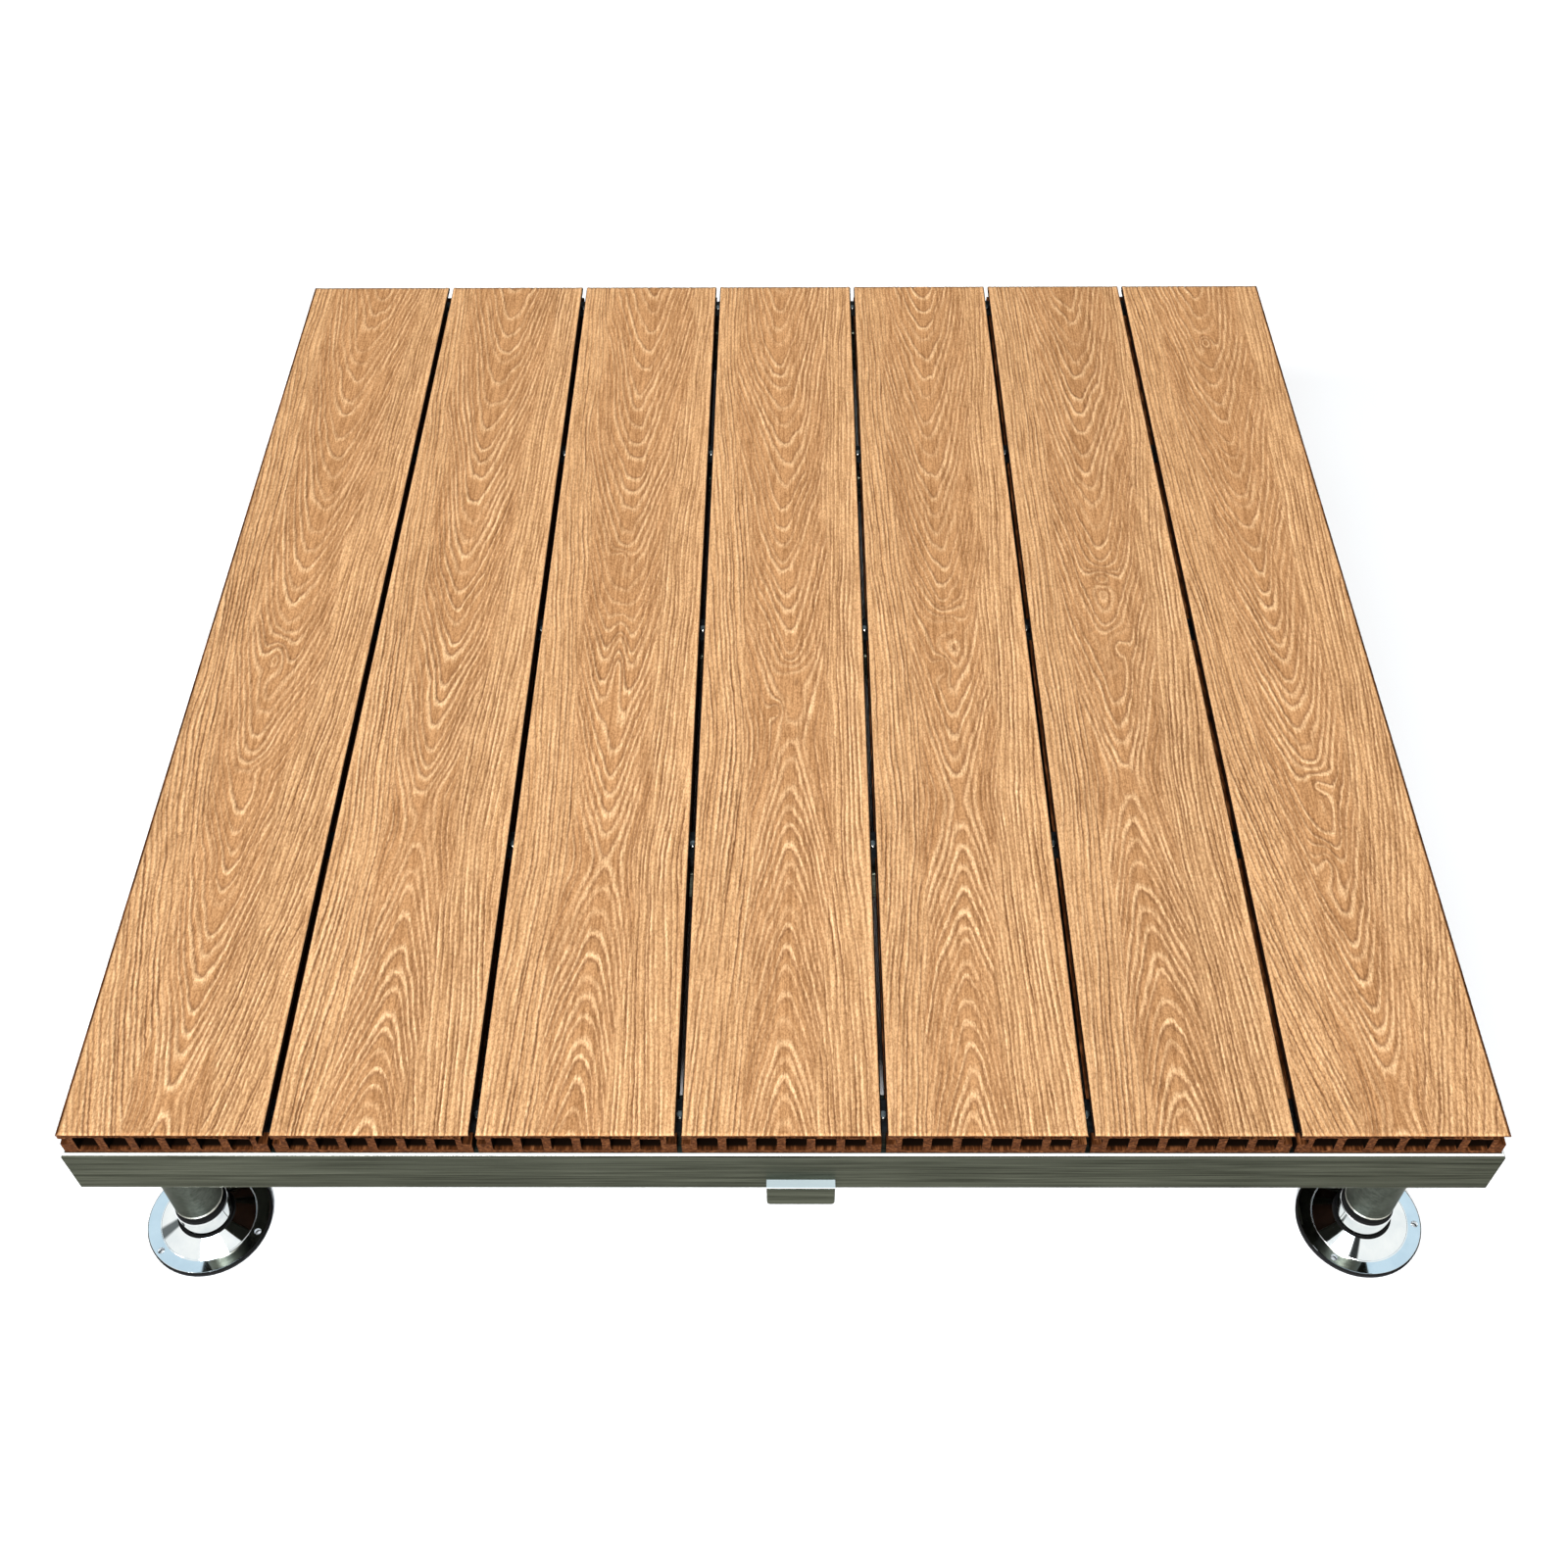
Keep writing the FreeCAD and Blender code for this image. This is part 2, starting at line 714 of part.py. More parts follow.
nodes.append(interlock_key())
edge_screw = pan_screw(
    "edge_screw_master", cell("screw_radius"), cell("screw_head_radius"),
    cell("screw_head_height"), cell("edge_screw_length"))
nodes.append(upward_screws("edge_screws", edge_screw, [
    (edge_web_place * side, row_place(row), frame_top - cell("joist_wall"))
    for row in range(1, JOIST_COUNT + 1) for side in (-1, 1)]))
key_screw = pan_screw(
    "key_screw_master", cell("key_screw_radius"), cell("key_screw_head_radius"),
    cell("key_screw_head_height"), cell("key_screw_length"))
nodes.append(upward_screws("key_screws", key_screw, [
    (cell("key_offset") + cell("key_screw_spacing") / 2 * side,
     cell("rail_size") / 2 - half_length, frame_bottom - cell("key_wall"))
    for side in (-1, 1)]))

for number, corner in enumerate(CORNERS):
    nodes += leg(number, corner)

doc.recompute()
for item in doc.Objects:
    if "Invalid" in item.State or "Error" in item.State:
        raise RuntimeError(f"{item.Name} did not build")
for node in nodes:
    if node.Shape.isNull() or not node.Shape.isValid():
        raise RuntimeError(f"{node.Label} has no valid shape")

os.makedirs("parts", exist_ok=True)
for node in nodes:
    node.Shape.exportStep(f"parts/{node.Label}.step")
print(f"{len(nodes)} nodes written")
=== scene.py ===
# Looks of the raised interlocking deck tile: embossed composite boards on a brushed steel frame,
# legs with chromed levelling feet, and a plain white studio. Metres, in the frame's own axes.

import math

import bpy
import numpy as np
from mathutils import Matrix, Vector
from mathutils.geometry import tessellate_polygon


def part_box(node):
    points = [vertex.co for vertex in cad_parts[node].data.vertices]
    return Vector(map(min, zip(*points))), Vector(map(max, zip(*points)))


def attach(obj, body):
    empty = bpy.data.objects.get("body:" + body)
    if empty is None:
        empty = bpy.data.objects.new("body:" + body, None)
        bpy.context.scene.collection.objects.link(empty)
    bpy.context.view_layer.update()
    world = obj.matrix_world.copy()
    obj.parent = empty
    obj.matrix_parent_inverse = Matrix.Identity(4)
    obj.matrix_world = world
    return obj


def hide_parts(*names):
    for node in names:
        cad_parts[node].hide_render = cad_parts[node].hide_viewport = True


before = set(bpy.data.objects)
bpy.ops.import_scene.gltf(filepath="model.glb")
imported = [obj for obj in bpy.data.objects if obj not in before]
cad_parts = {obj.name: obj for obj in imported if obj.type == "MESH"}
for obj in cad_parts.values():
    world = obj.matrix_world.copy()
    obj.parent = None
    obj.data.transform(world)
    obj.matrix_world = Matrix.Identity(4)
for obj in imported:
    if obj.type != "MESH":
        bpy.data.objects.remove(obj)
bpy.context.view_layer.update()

MM = 0.001

# Boards
BOARD_COUNT = 7
EDGE_ROUND = 2.0 * MM
EDGE_STEPS = 3
CELL_ACROSS = 0.98 * MM
CELL_ALONG = 2.55 * MM
GROOVE_DEPTH = 0.64 * MM
RIDGE_HEIGHT = 0.32 * MM
EDGE_MARGIN = 2.5 * MM
SAME_PLACE = 0.02 * MM

# Feet
FOOT_SIDEWAYS = 462.0 * MM
FOOT_LENGTHWAYS = 465.0 * MM
RIM_START = 48.0 * MM
# Reach of the painted shade in the groove round the neck, and the height above which the neck's top is painted
# shade.
GROOVE_RADIUS = 22.9 * MM
GROOVE_TOP = 14.2 * MM
NECK_PAINTED_SHADE = 31.2 * MM
BEAD_RADIUS = 37.5 * MM
BEAD_SIZE = 0.55 * MM
BEAD_HEIGHT = 5.3 * MM
BEAD_STEPS = 96

# Grain, in millimetres on the board: distances run from the rear end and from the board's middle.
# Arches fill the middle of each board, and nearly straight lines fill its flanks.
LINE_PITCH = 3.9
GROOVE_WIDTH = 0.62
RIDGE_WIDTH = 1.0
RIDGE_OFFSET = 1.5
ARCH_SLOPE = 0.118
FRONT_DENSER = 0.42
LEG_SLOPE = 0.50
FRONT_STEEPER = 0.7
LEG_CURVE = 0.0055
TIP_SHARP = 4.5
TIP_ROUND = 13.0
ARCH_REACH = 41.0
FRONT_REACH = 21.0
DECK_LENGTH = 1012.0
DECK_END = DECK_LENGTH / 2 * MM
CORNERS = ("front_left", "front_right", "rear_left", "rear_right")
OUTER_BOARD_SIDE = 500.0 * MM
REVERSAL_SOFTNESS = 30.0
FLANK_SLOPE = 0.30
FLANK_BLEND = 7.0
LEAST_GRADIENT = 0.14
DRAW_TURN = 12.9898
DRAW_SCALE = 43.75
LINE_SHIFT = 0.50
LEAST_STRENGTH = 0.30
HIGHLIGHT_STRIP_WIDTH = 6.0
# Widths in millimetres of painted shade on the boards' rounded top edges: on the deck's outer edges, and beside the
# gaps.
OUTER_PAINTED_SHADE_WIDTH = 2.6
GAP_PAINTED_SHADE_WIDTH = 1.2
ARCH_WIDTH = 1.28
FLANK_WIDTH = 1.0
CROSSING_WIDER = 1.0
ARCH_GROOVE_SHARE = 0.66

# One entry a board: where its arches turn round, its centre line, its knots and its tone.
# A centre point is (distance, sideways); a knot is (sideways, distance, half width, half length, rings).
# Incline points are (distance, slope of the flank lines) where these run aslant.
GRAIN = [
    {"turn": 985, "centre": ((0, -2), (450, -5), (1012, 0)), "tone": 1.00,
     "incline": ((0, 0.03), (600, 0.06), (800, 0.15), (1012, 0.24)),
     "knots": ((-6, 550, 9, 26, 3.0), (3, 681, 14, 16, 1.6))},
    {"turn": 735, "centre": ((0, -3), (600, -4), (1012, -2)), "tone": 1.00,
     "knots": ((8, 700, 12, 22, 1.2),)},
    {"turn": 775, "centre": ((0, 2), (425, -3), (720, 3), (1012, -5)), "tone": 1.02,
     "knots": ((-5, 425, 7, 13, 2.2), (1, 559, 8, 58, 3.4))},
    {"turn": 640, "centre": ((0, -5), (400, 0), (580, 7), (1012, 3)), "tone": 1.02,
     "knots": ((7, 575, 10, 20, 2.2), (-5, 612, 6, 12, 2.2))},
    {"turn": 706, "centre": ((0, 0), (500, 0), (700, 0), (1012, -9)), "tone": 1.00,
     "knots": ((0, 512, 12, 20, 3.2), (-6, 562, 7, 14, 2.4))},
    {"turn": 687, "centre": ((0, 13), (450, 0), (780, -8), (1012, -8)), "tone": 0.96,
     "knots": ((0, 453, 10, 13, 3.6), (3, 537, 9, 22, 2.0))},
    {"turn": 990, "centre": ((0, 3), (500, 1), (1012, -2)), "tone": 0.99,
     "incline": ((0, 0.03), (560, 0.06), (760, 0.17), (1012, 0.26)),
     "knots": ((2, 100, 6, 12, 2.4), (0, 694, 10, 18, 2.6), (-6, 775, 10, 22, 2.2))},
]


# Grain fields

def smooth_noise(across, along, cell_across, cell_along, seed):
    """Smooth random field between -1 and 1, with features about one cell in size."""
    random = np.random.default_rng(seed)
    u = across / cell_across
    v = along / cell_along
    u = u - u.min()
    v = v - v.min()
    lattice = random.uniform(-1.0, 1.0, (int(v.max()) + 3, int(u.max()) + 3))
    column = u.astype(int)
    row = v.astype(int)
    part_u = u - column
    part_v = v - row
    part_u = part_u * part_u * (3.0 - 2.0 * part_u)
    part_v = part_v * part_v * (3.0 - 2.0 * part_v)
    near = lattice[row, column] * (1.0 - part_u) + lattice[row, column + 1] * part_u
    far = lattice[row + 1, column] * (1.0 - part_u) + lattice[row + 1, column + 1] * part_u
    return near * (1.0 - part_v) + far * part_v


def centre_line(points, along):
    """Sideways place of the arches' middle at each distance, eased between the points."""
    distances = [point[0] for point in points]
    sideways = [point[1] for point in points]
    steps = np.linspace(distances[0], distances[-1], 60)
    plain = np.interp(steps, distances, sideways)
    eased = np.convolve(np.pad(plain, 4, mode="edge"), np.ones(9) / 9.0, mode="valid")
    return np.interp(along, steps, eased)


def grain_fields(across, along, grain, seed):
    """Heights whose contour lines are the arches and the flank lines, and the share of flank."""
    side = across - centre_line(grain["centre"], along)
    side = side - smooth_noise(across, along, 400.0, 110.0, seed) * 2.5
    part = along / DECK_LENGTH
    travel = along + FRONT_DENSER * part * along
    turn = grain["turn"] * (1.0 + FRONT_DENSER * grain["turn"] / DECK_LENGTH)
    rise = ARCH_SLOPE * np.sqrt((travel - turn) ** 2 + REVERSAL_SOFTNESS ** 2)
    waves = smooth_noise(across, along, 30.0, 130.0, seed + 1) * 2.6
    waves = waves + smooth_noise(across, along, 11.0, 48.0, seed + 2) * 1.2
    waves = waves + smooth_noise(across, along, 4.5, 17.0, seed + 3) * 0.45
    bend = 0.5 + 0.5 * smooth_noise(across, along, 500.0, 90.0, seed + 7)
    tip = TIP_ROUND + (TIP_SHARP - TIP_ROUND) * np.clip(along / 1400.0 + bend * 0.7, 0.0, 1.0)
    steep = LEG_SLOPE * (1.0 + FRONT_STEEPER * part ** 2)
    legs = steep * (np.sqrt(side ** 2 + tip ** 2) - tip) + LEG_CURVE * side ** 2
    arches = legs - rise + waves
    for sideways, distance, half_width, half_length, rings in grain["knots"]:
        spread = ((across - sideways) / half_width) ** 2 + ((along - distance) / half_length) ** 2
        arches = arches + rings * LINE_PITCH * np.exp(-spread)
    if "incline" in grain:
        steps = np.linspace(0.0, along.max(), 200)
        slopes = np.interp(steps, *zip(*grain["incline"]))
        drift = np.interp(along, steps, np.cumsum(slopes) * (steps[1] - steps[0]))
    else:
        drift = -FLANK_SLOPE * rise
    flanks = np.abs(side) + drift + waves
    border = ARCH_REACH + (FRONT_REACH - ARCH_REACH) * part + smooth_noise(np.sign(side) * 50.0, along, 60.0, 70.0, seed + 4) * 7.0
    share = np.clip((np.abs(side) - border) / FLANK_BLEND, 0.0, 1.0)
    return arches, flanks, share * share * (3.0 - 2.0 * share)


def line_field(height, across, along, line_width):
    """Line number of a field of heights, and how many line widths one number is there."""
    slope_along, slope_across = np.gradient(height, along, across)
    steepness = np.maximum(np.hypot(slope_along, slope_across), LEAST_GRADIENT)
    wide = line_width + CROSSING_WIDER * np.abs(slope_along) / steepness
    return height / LINE_PITCH, LINE_PITCH / steepness / wide


def line_relief(number, spread, along, seed):
    """Share of groove and of ridge from one set of lines, and how strong each line is along its length."""
    whole = np.floor(number)
    draw = np.sin(whole * DRAW_TURN) * DRAW_SCALE
    draw = draw - np.floor(draw)
    offset = (number - whole - 0.5 - (draw - 0.5) * LINE_SHIFT) * spread
    length = 0.5 + 0.75 * smooth_noise(whole, along, 1.0, 55.0, seed)
    strength = np.clip(LEAST_STRENGTH + (1.0 - LEAST_STRENGTH) * (0.45 * draw + 0.75 * length), 0.12, 1.0)
    groove = np.exp(-((offset / GROOVE_WIDTH) ** 2)) * strength
    ridge = np.exp(-(((offset - RIDGE_OFFSET) / RIDGE_WIDTH) ** 2)) * strength
    return groove, ridge, strength


# Boards

def end_loops(node):
    """Closed outlines of a board's front end face in X and Z: the outer one first, then the chambers."""
    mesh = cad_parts[node].data
    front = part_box(node)[0].y
    corners = {}
    edges = {}
    for polygon in mesh.polygons:
        places = [mesh.vertices[index].co for index in polygon.vertices]
        if max(abs(place.y - front) for place in places) > SAME_PLACE:
            continue
        keys = [(round(place.x / SAME_PLACE), round(place.z / SAME_PLACE)) for place in places]
        for key, place in zip(keys, places):
            corners[key] = (place.x, place.z)
        for start, end in zip(keys, keys[1:] + keys[:1]):
            if (end, start) in edges:
                del edges[(end, start)]
            else:
                edges[(start, end)] = True
    following = dict(edges.keys())
    loops = []
    while following:
        start = next(iter(following))
        loop = [start]
        key = following.pop(start)
        while key != start:
            loop.append(key)
            key = following.pop(key)
        loops.append([corners[key] for key in loop])
    loops.sort(key=lambda loop: min(x for x, _ in loop))
    return loops


def side_run(loop, left, right, shoulder):
    """Part of the outer outline below both rounded top edges, from the right shoulder round to the left."""
    low = [point for point in loop if point[1] < shoulder + SAME_PLACE]
    first = min(range(len(low)), key=lambda i: math.dist(low[i], (right, shoulder)))
    run = low[first:] + low[:first]
    if math.dist(run[1], (left, shoulder)) < SAME_PLACE * 4:
        run = run[:1] + run[:0:-1]
    return run


def top_columns(left, right, top):
    """X and Z of the board's top from the left shoulder over the flat to the right shoulder, and how flat it is."""
    flat_left = left + EDGE_ROUND
    flat_right = right - EDGE_ROUND
    count = round((flat_right - flat_left) / CELL_ACROSS)
    flat = np.linspace(flat_left, flat_right, count + 1)
    angles = np.linspace(0.0, math.pi / 2, EDGE_STEPS + 1)[:-1]
    round_x = flat_left - EDGE_ROUND * np.cos(angles)
    round_z = top - EDGE_ROUND + EDGE_ROUND * np.sin(angles)
    x = np.concatenate([round_x, flat, (left + right - round_x)[::-1]])
    z = np.concatenate([round_z, np.full(count + 1, top), round_z[::-1]])
    reach = np.minimum(x - flat_left, flat_right - x) / EDGE_MARGIN
    return x, z, np.clip(reach, 0.0, 1.0)


def embossed_board(number, material):
    """One hollow board with its grain pressed into the top, in place of the plain one."""
    node = f"deck_board_{number}"
    low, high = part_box(node)
    loops = end_loops(node)
    shoulder = high.z - EDGE_ROUND
    outer = side_run(loops[0], low.x, high.x, shoulder)
    x, z, flatness = top_columns(low.x, high.x, high.z)
    rows = round((high.y - low.y) / CELL_ALONG)
    y = np.linspace(low.y, high.y, rows + 1)
    grid_x, grid_y = np.meshgrid(x, y)
    across = (grid_x - (low.x + high.x) / 2) / MM
    along = (high.y - grid_y) / MM
    arches, flanks, share = grain_fields(across, along, GRAIN[number - 1], number * 10)
    arch_number, arch_spread = line_field(arches, across[0], along[:, 0], ARCH_WIDTH)
    flank_number, flank_spread = line_field(flanks, across[0], along[:, 0], FLANK_WIDTH)
    arch_groove, arch_ridge, arch_strength = line_relief(
        arch_number, arch_spread, along, number * 10 + 8)
    flank_groove, flank_ridge, flank_strength = line_relief(
        flank_number, flank_spread, along, number * 10 + 9)
    fade = 0.68 + 0.34 * along / DECK_LENGTH + 0.25 * smooth_noise(across, along, 9.0, 60.0, number * 10 + 5)
    fade = np.clip(fade + 0.20 * smooth_noise(across, along, 30.0, 190.0, number * 10 + 6), 0.2, 1.0)
    fade = fade * flatness
    left_reach = across + (high.x - low.x) / MM / 2 if number > 1 else across * 0.0 + HIGHLIGHT_STRIP_WIDTH * 2
    right_reach = (high.x - low.x) / MM / 2 - across if number < BOARD_COUNT else across * 0.0 + HIGHLIGHT_STRIP_WIDTH * 2
    reach = np.minimum(left_reach, right_reach) + smooth_noise(across, along, 500.0, 35.0, number * 10 + 7) * 0.8
    # Beside each gap a strip along the board's edge gets flatter grain and a lighter colour; the lighter colour is
    # a painted highlight of light on the rounded edge.
    highlight_strip = np.clip((HIGHLIGHT_STRIP_WIDTH - reach) / 3.0, 0.0, 1.0)
    # The end colour also runs onto the rounded top edges as painted shade, wider on the deck's two outer edges than
    # beside the gaps.
    outer_side = {1: across < 0.0, BOARD_COUNT: across > 0.0}.get(number, across > across.max())
    painted_shade_width = np.where(outer_side, OUTER_PAINTED_SHADE_WIDTH, GAP_PAINTED_SHADE_WIDTH)
    cut_and_painted_edge_shade_share = np.clip((np.abs(across) - (high.x - low.x) / MM / 2 + painted_shade_width) / 0.6, 0.0, 1.0)
    fade = fade * (1.0 - 0.6 * highlight_strip)
    groove = np.maximum(ARCH_GROOVE_SHARE * arch_groove * (1.0 - share), flank_groove * share) * fade
    ridge = np.maximum(arch_ridge * (1.0 - share), flank_ridge * share) * fade
    depth = (GROOVE_DEPTH * groove + RIDGE_HEIGHT * (1.0 - ridge)) * flatness
    grid_z = z - depth
    columns = len(x)
    points = [np.stack([grid_x, grid_y, grid_z], axis=-1).reshape(-1, 3)]
    count = columns * (rows + 1)

    corner = np.arange(count).reshape(rows + 1, columns)
    quads = np.stack([
        corner[:-1, :-1], corner[:-1, 1:], corner[1:, 1:], corner[1:, :-1]], axis=-1).reshape(-1, 4)
    faces = quads.tolist()
    smooth_faces = len(faces)

    def add_rows(loop):
        """The loop's points at the front end, then at the rear end."""
        nonlocal count
        flat = np.array(loop)
        for place in (low.y, high.y):
            points.append(np.stack([flat[:, 0], np.full(len(flat), place), flat[:, 1]], axis=-1))
        first = count
        count += 2 * len(loop)
        return list(range(first, first + len(loop))), list(range(first + len(loop), count))

    run_front, run_rear = add_rows(outer[1:-1])
    rims = [add_rows(loop) for loop in loops[1:]]
    hollow_start = count
    chambers = [add_rows(loop) for loop in loops[1:]]
    right = corner[:, -1].tolist()
    left = corner[:, 0].tolist()
    faces.append(right + [run_rear[0], run_front[0]])
    faces.append([run_front[-1], run_rear[-1]] + left[::-1])
    for index in range(len(run_front) - 1):
        faces.append([run_front[index], run_rear[index], run_rear[index + 1], run_front[index + 1]][::-1])
    for near, far in chambers:
        for index in range(len(near)):
            following = (index + 1) % len(near)
            faces.append([near[index], near[following], far[following], far[index]])
    place = np.concatenate(points)
    ends = [
        (corner[0].tolist() + run_front, [near for near, _ in rims], False),
        (corner[-1].tolist() + run_rear, [far for _, far in rims], True),
    ]
    for rim, holes, turned in ends:
        order = rim + [index for hole in holes for index in hole]
        outlines = [[Vector(place[index]) for index in loop] for loop in [rim] + holes]
        for triangle in tessellate_polygon(outlines):
            face = [order[index] for index in triangle]
            a, b, c = (Vector(place[index]) for index in face)
            points_back = (b - a).cross(c - a).y > 0
            faces.append(face if points_back == turned else face[::-1])

    mesh = bpy.data.meshes.new(f"embossed_board_{number}")
    mesh.from_pydata(place.tolist(), [], faces)
    mesh.polygons.foreach_set(
        "use_smooth", np.arange(len(mesh.polygons)) < smooth_faces)
    side_points = len(place) - columns * (rows + 1)
    fields = (
        ("arch_number", arch_number, 0.0), ("arch_spread", arch_spread, 1.0),
        ("arch_strength", arch_strength, 0.0), ("flank_number", flank_number, 0.0),
        ("flank_spread", flank_spread, 1.0), ("flank_strength", flank_strength, 0.0),
        ("flank_share", share, 0.0), ("fade", fade, 0.0), ("highlight_strip", highlight_strip, 0.0),
        ("cut_and_painted_edge_shade", cut_and_painted_edge_shade_share, 1.0))
    for name, values, side_value in fields:
        attribute = mesh.attributes.new(name, "FLOAT", "POINT")
        every = np.concatenate([values.ravel(), np.full(side_points, side_value)])
        attribute.data.foreach_set("value", every.astype(np.float32))
    hollow = mesh.attributes.new("hollow", "FLOAT", "POINT")
    hollow.data.foreach_set("value", (np.arange(len(place)) >= hollow_start).astype(np.float32))
    mesh.materials.append(material)
    board = bpy.data.objects.new(f"embossed_board_{number}", mesh)
    board["tone"] = float(GRAIN[number - 1]["tone"])
    bpy.context.scene.collection.objects.link(board)
    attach(board, "tile")
    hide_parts(node)
    return board


# Materials

# Screen colours of the boards' top, lowered by the studio's brightness
BOARD_FILL = (177, 131, 88)
BOARD_PLAIN = (193, 148, 103)
BOARD_RIDGE = (223, 181, 135)
BOARD_GROOVE = (104, 62, 34)
# Lighter colour of the strips along the gap edges: a painted highlight.
BOARD_PAINTED_HIGHLIGHT = (208, 162, 116)


class Tree:
    """Node tree of a new material, with short ways to add and join nodes."""

    def __init__(self, name):
        self.material = bpy.data.materials.new(name)
        self.material.use_nodes = True
        self.tree = self.material.node_tree
        self.shader = self.tree.nodes["Principled BSDF"]

    def add(self, kind, inputs=(), **settings):
        node = self.tree.nodes.new("ShaderNode" + kind)
        for name, value in settings.items():
            setattr(node, name, value)
        for socket, value in dict(inputs).items():
            self.feed(node.inputs[socket], value)
        return node

    def feed(self, socket, value):
        if isinstance(value, bpy.types.NodeSocket):
            self.tree.links.new(value, socket)
        elif isinstance(value, bpy.types.Node):
            self.tree.links.new(value.outputs[0], socket)
        else:
            socket.default_value = value

    def math(self, operation, first, second=0.0, third=0.0):
        return self.add("Math", {0: first, 1: second, 2: third}, operation=operation)

    def bell(self, value, middle, width):
        """Bell curve of the value around its middle."""
        part = self.math("MULTIPLY", self.math("SUBTRACT", value, middle), 1.0 / width)
        return self.math("EXPONENT", self.math("MULTIPLY", self.math("MULTIPLY", part, part), -1.0))

    def attribute(self, name, kind="GEOMETRY"):
        return self.add("Attribute", attribute_name=name, attribute_type=kind).outputs["Fac"]

    def ramp(self, factor, stops):
        node = self.add("ValToRGB", {0: factor})
        points = node.color_ramp.elements
        while len(points) < len(stops):
            points.new(0.5)
        for point, (position, colour) in zip(points, stops):
            point.position = position
            point.color = (*colour, 1.0)
        return node

    def mix(self, factor, first, second, blend="MIX"):
        node = self.add("Mix", data_type="RGBA", blend_type=blend)
        self.feed(node.inputs[0], factor)
        self.feed(node.inputs[6], first)
        self.feed(node.inputs[7], second)
        return node.outputs[2]

    def stretched_noise(self, scale, detail=3.0, roughness=0.5):
        """Noise with its own scale on each axis, in parts of a metre."""
        place = self.add("TexCoord").outputs["Object"]
        stretched = self.add("Mapping", {"Vector": place, "Scale": scale})
        noise = self.add("TexNoise", {
            "Vector": stretched, "Scale": 1.0, "Detail": detail, "Roughness": roughness})
        return noise.outputs["Fac"]

    def upward(self, low, high):
        """How much the face looks up, eased between two heights of its normal."""
        normal = self.add("NewGeometry").outputs["Normal"]
        height = self.add("SeparateXYZ", {0: normal}).outputs[2]
        return self.add("MapRange", {0: height, 1: low, 2: high}, interpolation_type="SMOOTHSTEP")

    def downward(self):
        return self.upward(-0.6, -0.85)

    def finish(self, **inputs):
        for name, value in inputs.items():
            self.feed(self.shader.inputs[name.replace("_", " ")], value)
        return self.material


def from_screen(red, green, blue):
    """Linear colour of a colour given in the 0 to 255 steps of a screen."""
    values = []
    for step in (red, green, blue):
        part = step / 255.0
        values.append(part / 12.92 if part <= 0.04045 else ((part + 0.055) / 1.055) ** 2.4)
    return tuple(values)


def line_shade(tree, name, uneven):
    """Groove and ridge share of one set of lines, as the relief has them but finer."""
    number = tree.attribute(name + "_number")
    spread = tree.attribute(name + "_spread")
    whole = tree.math("FLOOR", number)
    draw = tree.math("MULTIPLY", tree.math("SINE", tree.math("MULTIPLY", whole, DRAW_TURN)), DRAW_SCALE)
    draw = tree.math("FRACT", draw)
    middle = tree.math("MULTIPLY_ADD", draw, LINE_SHIFT, 0.5 - LINE_SHIFT / 2)
    offset = tree.math("MULTIPLY", tree.math("SUBTRACT", tree.math("SUBTRACT", number, whole), middle), spread)
    offset = tree.math("ADD", offset, uneven)
    strength = tree.attribute(name + "_strength")
    groove = tree.bell(offset, 0.0, GROOVE_WIDTH * 1.15)
    ridge = tree.bell(offset, RIDGE_OFFSET, RIDGE_WIDTH * 1.1)
    return tree.math("MULTIPLY", groove, strength), tree.math("MULTIPLY", ridge, strength)


